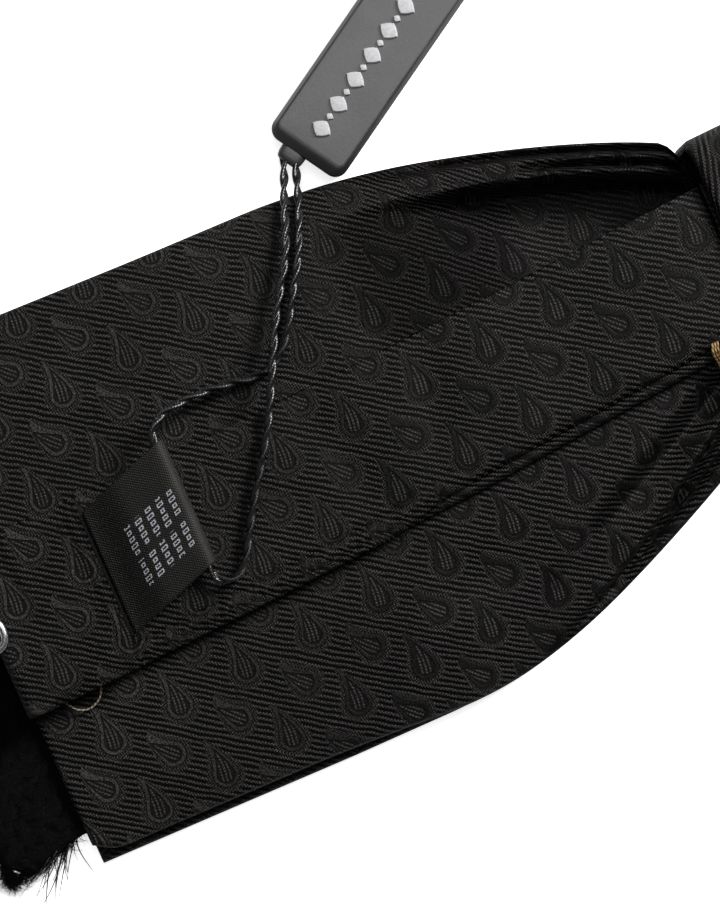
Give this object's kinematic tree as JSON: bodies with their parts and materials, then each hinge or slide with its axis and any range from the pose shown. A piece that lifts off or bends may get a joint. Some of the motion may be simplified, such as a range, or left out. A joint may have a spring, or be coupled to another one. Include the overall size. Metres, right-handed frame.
{
  "type": "bow tie",
  "caption": "Pre-tied silk bow tie lying face down: pleated wings, wrapped knot, neck strap with hook, slider and eye, care label and a corded seal tag.",
  "frame": {"origin": "middle of the knot's flat front, which lies on the table", "axes": "+X along the bow towards the strap's long side, +Y up the bow's height, +Z out of the bow's back"},
  "size_m": [0.25, 0.0944, 0.0213],
  "materials": {
    "silk": "black jacquard silk, satin teardrops on a twill ground",
    "wool": "matt napped interlining",
    "thread": "twisted black sewing thread",
    "gold_thread": "ochre silk thread",
    "satin": "black woven satin label tape",
    "waxed_cord": "waxed two-ply cord",
    "seal_plastic": "satin moulded plastic",
    "steel": "bright plated wire"
  },
  "bodies": {
    "bow": {"wing_front_panel": "silk", "wing_back_panel": "silk", "left_interlining": "wool", "right_interlining": "wool", "waist_binding": "thread", "knot_wrap": "silk", "knot_lining": "wool", "knot_seam_stitch": "thread", "strap_tack": "gold_thread", "strap_centre": "silk"},
    "short_side": {"short_under_ply": "silk", "short_strap_interlining": "wool", "short_top_ply": "silk", "short_end_fold": "silk", "short_fold_stitch": "thread", "loose_thread": "gold_thread", "label_tail": "satin"},
    "wire_hook": {"hook": "steel"},
    "long_side": {"long_strap": "silk", "long_end_fold": "silk", "long_fold_stitch": "thread"},
    "adjuster": {"slider": "steel"},
    "wire_eye": {"eye": "steel"},
    "label": {"care_label": "satin"},
    "hang_tag": {"hang_cord_a": "waxed_cord", "hang_cord_b": "waxed_cord", "seal_top": "seal_plastic", "seal_bottom": "seal_plastic", "cord_lock": "seal_plastic"}
  },
  "joints": [
    {"name": "short_side_lift", "type": "hinge", "parent": "bow", "child": "short_side", "pos_m": [-0.0127, 0, 0.0142], "axis": [0, 1, 0], "range_deg": [0, 95]},
    {"name": "hook_swing", "type": "hinge", "parent": "short_side", "child": "wire_hook", "pos_m": [-0.113, -0.0034, 0.0066], "axis": [0, 1, 0], "range_deg": [-15, 20]},
    {"name": "long_side_lift", "type": "hinge", "parent": "bow", "child": "long_side", "pos_m": [0.0127, 0, 0.0142], "axis": [0, -1, 0], "range_deg": [0, 95]},
    {"name": "slider_slide", "type": "slide", "parent": "long_side", "child": "adjuster", "axis": [0.9972, 0, -0.0749], "range_m": [-0.015, 0.022]},
    {"name": "eye_swing", "type": "hinge", "parent": "long_side", "child": "wire_eye", "pos_m": [0.098, 0.0019, 0.01452], "axis": [0, -1, 0], "range_deg": [-12, 12]},
    {"name": "label_flip", "type": "hinge", "parent": "short_side", "child": "label", "pos_m": [-0.0984, -0.002, 0.0095], "axis": [0, -1, 0], "range_deg": [0, 110]},
    {"name": "cord_lift", "type": "hinge", "parent": "label", "child": "hang_tag", "pos_m": [-0.0866, 0, 0.0099], "axis": [0, -1, 0], "range_deg": [0, 75]}
  ]
}
